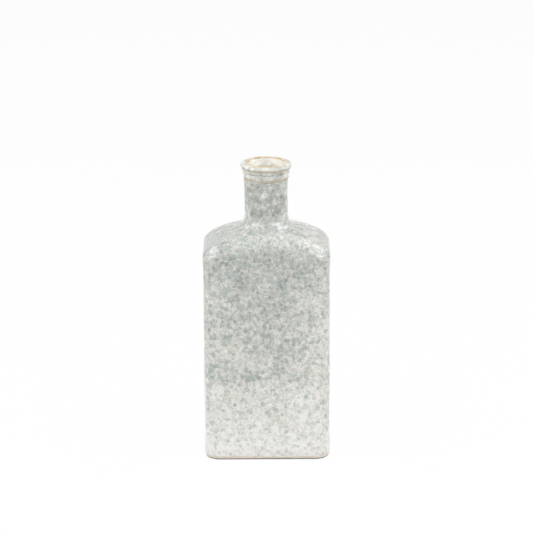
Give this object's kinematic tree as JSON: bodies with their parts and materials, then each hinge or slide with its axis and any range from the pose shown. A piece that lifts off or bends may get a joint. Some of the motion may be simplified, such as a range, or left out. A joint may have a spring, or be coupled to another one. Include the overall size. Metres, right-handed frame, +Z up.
{
  "type": "bottle vase",
  "caption": "Flat-sided stoneware bottle vase with rounded upright edges, sloping shoulders, a round neck, a flared lip and a mottled grey-green glaze, for holding flower stems.",
  "frame": {"origin": "centre of the foot, on the surface that the vase stands on", "axes": "+Z up along the neck, +X to the right across the broad front, +Y towards the back, so the front faces -Y"},
  "size_m": [0.1046, 0.067, 0.25],
  "materials": {
    "bare_stoneware": "matte, unglazed tan stoneware",
    "mottled_glaze": "glossy, mottled grey-green over cream",
    "pale_glaze": "glossy, pale cream"
  },
  "bodies": {
    "root": {"base_slab": "bare_stoneware", "front_shell": "bare_stoneware", "back_shell": "bare_stoneware", "neck_ring": "bare_stoneware", "body_glaze": "mottled_glaze", "collar_glaze": "mottled_glaze", "lip_glaze": "mottled_glaze", "lining_glaze": "pale_glaze"}
  },
  "joints": []
}
